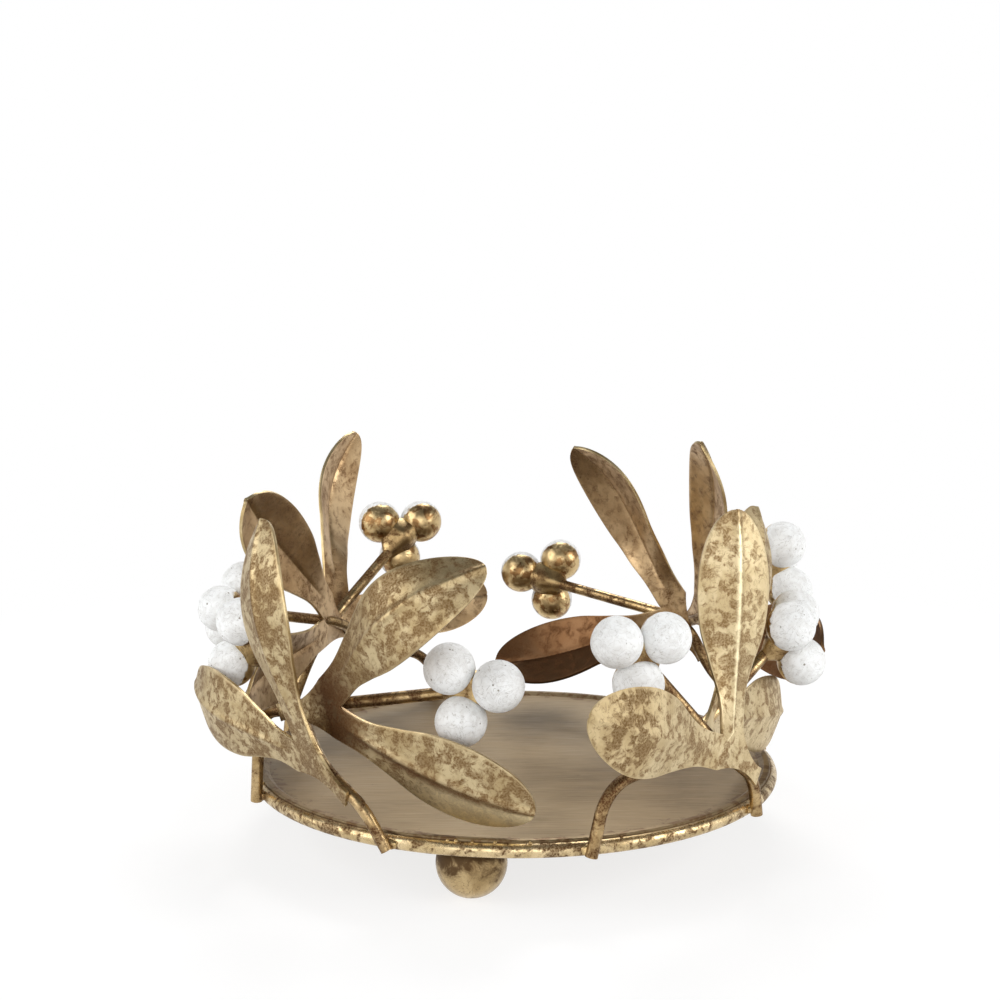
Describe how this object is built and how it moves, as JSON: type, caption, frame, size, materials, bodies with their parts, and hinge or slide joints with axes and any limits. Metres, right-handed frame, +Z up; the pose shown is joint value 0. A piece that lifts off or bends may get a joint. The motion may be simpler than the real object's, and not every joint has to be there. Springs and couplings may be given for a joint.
{
  "type": "candle ring",
  "caption": "Round candle plate on ball feet, with a hoop under its lip and a ring of mistletoe sprays: spoon-shaped leaf pairs and balls as berries on bent wires.",
  "frame": {"origin": "centre of the plate's flat top face, where the candle stands", "axes": "+Z up out of the plate, -Y to the front as in the picture, +X to the viewer's right"},
  "size_m": [0.1545, 0.1669, 0.0938],
  "materials": {
    "antique_gold": "antique gold wash with brown patina, satin",
    "berry_white": "chalky white paint on the outer side, bare antique gold towards the candle"
  },
  "bodies": {
    "root": {"plate_disc": "antique_gold", "rim_hoop": "antique_gold", "foot_ball_1": "antique_gold", "foot_ball_2": "antique_gold", "foot_ball_3": "antique_gold", "stem_wire_1": "antique_gold", "stem_wire_2": "antique_gold", "stem_wire_3": "antique_gold", "stem_wire_4": "antique_gold", "stem_wire_5": "antique_gold", "stem_wire_6": "antique_gold", "stem_wire_7": "antique_gold", "stem_wire_8": "antique_gold", "leaf_pair_1": "antique_gold", "leaf_pair_2": "antique_gold", "leaf_pair_3": "antique_gold", "leaf_pair_4": "antique_gold", "leaf_pair_5": "antique_gold", "leaf_pair_6": "antique_gold", "leaf_pair_7": "antique_gold", "leaf_pair_8": "antique_gold", "berry_1_1": "berry_white", "berry_1_2": "berry_white", "berry_1_3": "berry_white", "berry_2_1": "berry_white", "berry_2_2": "berry_white", "berry_2_3": "berry_white", "berry_3_1": "berry_white", "berry_3_2": "berry_white", "berry_3_3": "berry_white", "berry_4_1": "berry_white", "berry_4_2": "berry_white", "berry_4_3": "berry_white", "berry_5_1": "berry_white", "berry_5_2": "berry_white", "berry_5_3": "berry_white", "berry_6_1": "berry_white", "berry_6_2": "berry_white", "berry_6_3": "berry_white", "berry_7_1": "berry_white", "berry_7_2": "berry_white", "berry_7_3": "berry_white", "berry_8_1": "berry_white", "berry_8_2": "berry_white", "berry_8_3": "berry_white"}
  },
  "joints": []
}
